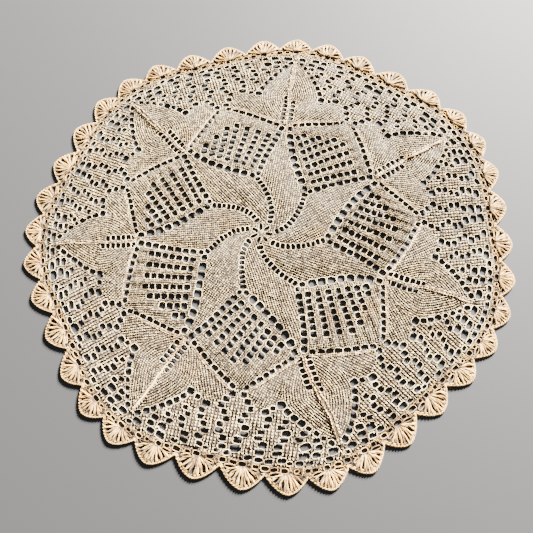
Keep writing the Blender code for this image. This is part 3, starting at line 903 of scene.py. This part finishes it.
def chain(line, wale, height, radius):
    """A closed chain of V stitches along a line of places, which lie one stitch apart."""
    ways = np.roll(line, -1) - line
    row = np.abs(ways)
    ways = ways / row
    legs = []
    for side in (1, -1):
        foot = line + ways * (-0.45 * row + 0.12j * side * wale)
        head = line + ways * (0.45 * row + 0.30j * side * wale)
        legs.append(raised(np.stack([foot, head], axis=1), height + np.array((-0.15, 0.15)) * MM))
    legs = np.concatenate(legs)
    return yarns(legs, radius), len(legs)


def edge_number(degrees):
    """How many shells lie between the first shell's start and a bearing."""
    return SHELL_START + degrees * SHELLS / 360 + waves(SHELL_WAVES, degrees)


steps = (np.arange(SHELLS * RIM_STITCHES) + 0.5) / RIM_STITCHES
bearings = shell_bearing(steps)
rim_line = polar(edge_reach(bearings, steps % 1) - 0.95 * RIM_WIDTH, bearings)
parts = []
numbers = np.arange(SHELLS * 72) / 72
bearings = shell_bearing(numbers)
edge = edge_reach(bearings, numbers % 1)
for half in (0, np.pi):
    twist = half + 2 * np.pi * ROPE_TURNS * numbers
    rope = polar(edge - 0.42 * RIM_WIDTH, bearings) * (1 + 0.36 * MM * np.cos(twist) / (edge * REACH))
    rope = raised(rope, WEB_THICKNESS + 0.10 * MM + 0.30 * MM * np.sin(twist))[None]
    parts.append((yarns(rope, 0.60 * MM, sides=5, height=0.9, closed=True), 1))
parts.append(chain(rim_line, 1.8 * MM, WEB_THICKNESS + 0.40 * MM, 0.42 * MM))
band_openings = openings(band_rims, band_table[:, 1])
for depth in BAND_ROUNDS:
    bearings = np.arange(0, 360, 360 / 520) + random.uniform(0, 0.6)
    places = polar(valley_reach(bearings) - depth, bearings)
    on_posts = (np.abs(edge_number(bearings) % 1 - 0.5) < 0.36) & (depth < HUB_DEPTH + 0.006)
    places = places[off_openings(places, band_openings, 0.6 * MM) & ~on_posts]
    ways = places / np.abs(places) * np.exp(0.06j * random.normal(0, 1, len(places)))
    legs = []
    for side in (1, -1):
        foot = places + ways * (-0.70 + 0.22j * side) * MM
        head = places + ways * (0.66 + 0.68j * side) * MM
        legs.append(raised(np.stack([foot, head], axis=1), WEB_THICKNESS + np.array((0.10, 0.30)) * MM))
    legs = np.concatenate(legs)
    parts.append((yarns(legs, 0.32 * MM), len(legs)))
loops = raised(grown(band_rims, LOOP_RADIUS), WEB_THICKNESS + 0.2 * MM)
parts.append((yarns(loops, LOOP_RADIUS, closed=True), len(loops)))
points, triangles, lay, tone = joined(parts)
rims = cloth_piece("shell_rims", points, triangles, golden, lay=lay, tone=tone)


# The table, the light and the camera: a plain pale surface, one large soft light from the far right and
# an even sky, and the view that the photograph has, from above and in front, turned ten degrees.
FLOOR_SIZE = 4.0
LIGHT_PLACE = (1.74, 1.74, 0.88)
VIEW_LENS = 38.45
VIEW_ELEVATION, VIEW_ROLL = np.radians(68.0), np.radians(-10.59)
VIEW_AIM = np.array((-0.0194, -0.1534, 0.0)) * REACH
VIEW_DISTANCE = 2.2989 * REACH

floor_mesh = bpy.data.meshes.new("floor")
half = FLOOR_SIZE / 2
corners = [(-half, -half, 0), (half, -half, 0), (half, half, 0), (-half, half, 0)]
floor_mesh.from_pydata(corners, [], [(0, 1, 2, 3)])
floor = bpy.data.objects.new("floor", floor_mesh)
bpy.context.collection.objects.link(floor)
material, tree = new_tree("pale floor")
shader = tree.nodes["Principled BSDF"]
shader.inputs["Base Color"].default_value = (0.030, 0.0312, 0.034, 1)
shader.inputs["Roughness"].default_value = 0.8
floor_mesh.materials.append(material)

lamp = bpy.data.lights.new("soft light", "AREA")
lamp.shape = "DISK"
lamp.size = 0.54
lamp.energy = 2180
lamp.color = (1.0, 0.945, 0.86)
light = bpy.data.objects.new("soft light", lamp)
bpy.context.collection.objects.link(light)
toward = -np.array(LIGHT_PLACE) / np.linalg.norm(LIGHT_PLACE)
level = np.cross(toward, (0, 0, 1))
level /= np.linalg.norm(level)
turn = np.eye(4)
turn[:3] = np.stack([level, np.cross(level, toward), -toward, LIGHT_PLACE], axis=1)
light.matrix_world = Matrix(turn)
world = bpy.data.worlds.new("sky")
world.use_nodes = True
world.node_tree.nodes["Background"].inputs[0].default_value = (1.0, 1.0, 1.0, 1)
world.node_tree.nodes["Background"].inputs[1].default_value = 0.30
bpy.context.scene.world = world

right = np.array((1.0, 0.0, 0.0))
back = np.array((0.0, -np.cos(VIEW_ELEVATION), np.sin(VIEW_ELEVATION)))
up = np.cross(back, right)
across = np.cos(VIEW_ROLL) * right + np.sin(VIEW_ROLL) * up
upward = -np.sin(VIEW_ROLL) * right + np.cos(VIEW_ROLL) * up
eye = VIEW_AIM + back * VIEW_DISTANCE - (box_middle.real, box_middle.imag, 0)
lens = bpy.data.cameras.new("camera")
lens.lens = VIEW_LENS
lens.clip_start = 0.01
camera = bpy.data.objects.new("camera", lens)
bpy.context.collection.objects.link(camera)
turn[:3] = np.stack([across, upward, back, eye], axis=1)
camera.matrix_world = Matrix(turn)
bpy.context.scene.camera = camera
